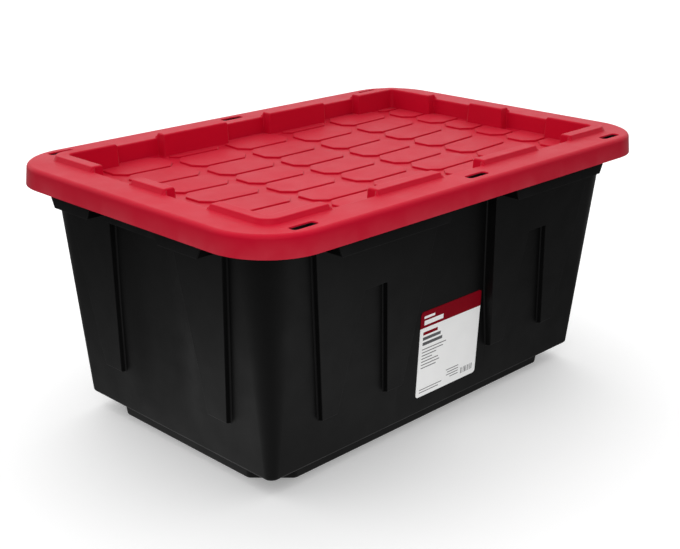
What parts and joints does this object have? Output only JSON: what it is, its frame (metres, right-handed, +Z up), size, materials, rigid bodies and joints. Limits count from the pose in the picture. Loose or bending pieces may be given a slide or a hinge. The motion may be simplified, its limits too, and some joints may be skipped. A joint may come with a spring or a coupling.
{
  "type": "storage tote with lift-off lid",
  "caption": "Nesting industrial storage tote with tapered, ribbed walls, a chamfered foot, under-rim grip tabs and a recessed press-fit lid that lifts off and takes the foot of the tote above.",
  "frame": {"origin": "on the ground, under the centre of the tub's foot", "axes": "+X along the length, +Y along the width away from the side that carries the label, +Z up"},
  "size_m": [0.777, 0.518, 0.368],
  "materials": {
    "tub_plastic": "injection-moulded black polypropylene, fine satin grain",
    "lid_plastic": "injection-moulded red polypropylene, satin",
    "label_paper": "printed self-adhesive film, white with a dark red header band"
  },
  "bodies": {
    "tub": {"tub": "tub_plastic", "label": "label_paper"},
    "lid": {"lid": "lid_plastic"}
  },
  "joints": [
    {"name": "lid_lift", "type": "slide", "parent": "tub", "child": "lid", "axis": [0, 0, 1], "range_m": [0, 0.3]}
  ]
}
